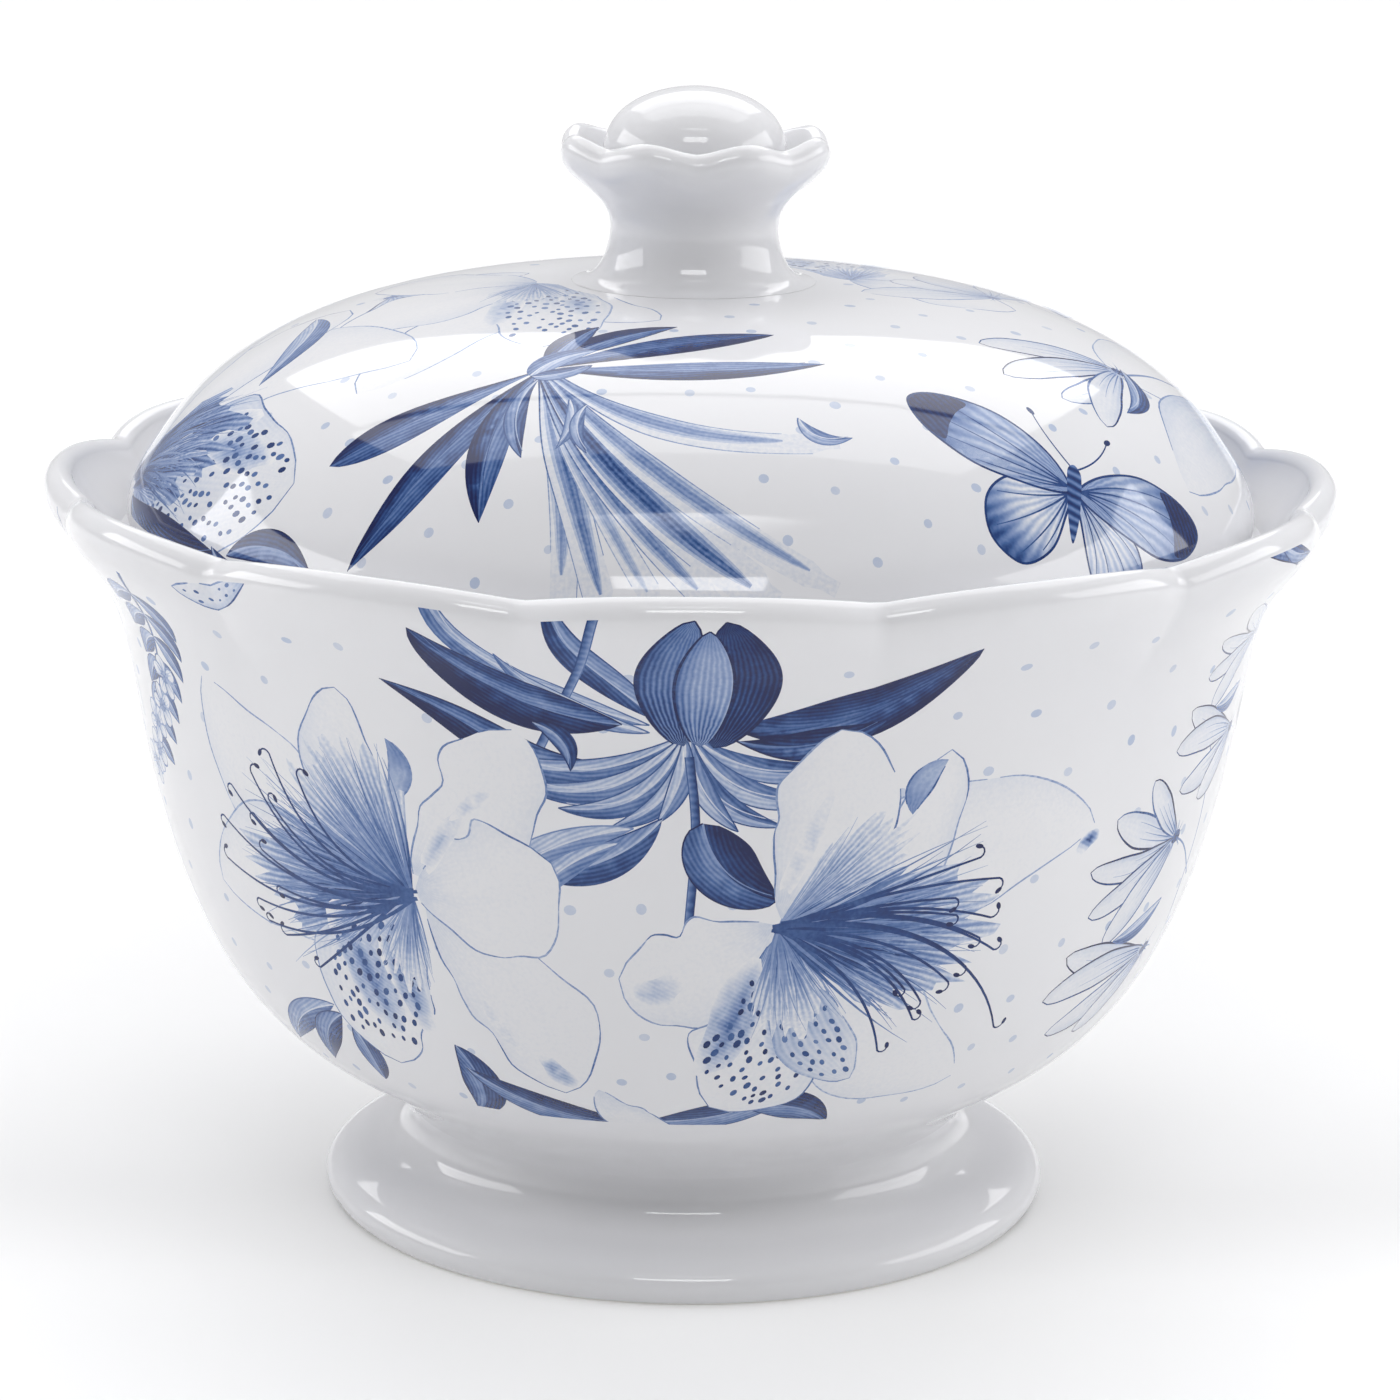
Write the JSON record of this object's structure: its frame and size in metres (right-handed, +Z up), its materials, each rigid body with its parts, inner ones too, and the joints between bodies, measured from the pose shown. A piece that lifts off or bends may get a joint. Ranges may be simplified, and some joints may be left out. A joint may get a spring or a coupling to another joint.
{
  "type": "covered sugar bowl",
  "caption": "Round covered bowl with a lobed, flared rim, a low pedestal foot, and a domed lift-off lid with a ruffled knob.",
  "frame": {"origin": "centre of the foot ring, on the plane the bowl stands on", "axes": "+Z up along the common axis of bowl and lid; -Y is the front, where a lobe of the rim faces the viewer"},
  "size_m": [0.1252, 0.1252, 0.11],
  "materials": {
    "bowl_glaze": "gloss",
    "foot_glaze": "gloss",
    "lid_glaze": "gloss",
    "knob_glaze": "gloss",
    "button_glaze": "gloss"
  },
  "bodies": {
    "bowl": {"bowl_body": "bowl_glaze", "pedestal_foot": "foot_glaze"},
    "lid": {"lid_dome": "lid_glaze", "knob_collar": "knob_glaze", "knob_button": "button_glaze"}
  },
  "joints": [
    {"name": "lid_lift", "type": "slide", "parent": "bowl", "child": "lid", "axis": [0, 0, 1], "range_m": [0, 0.06]}
  ]
}
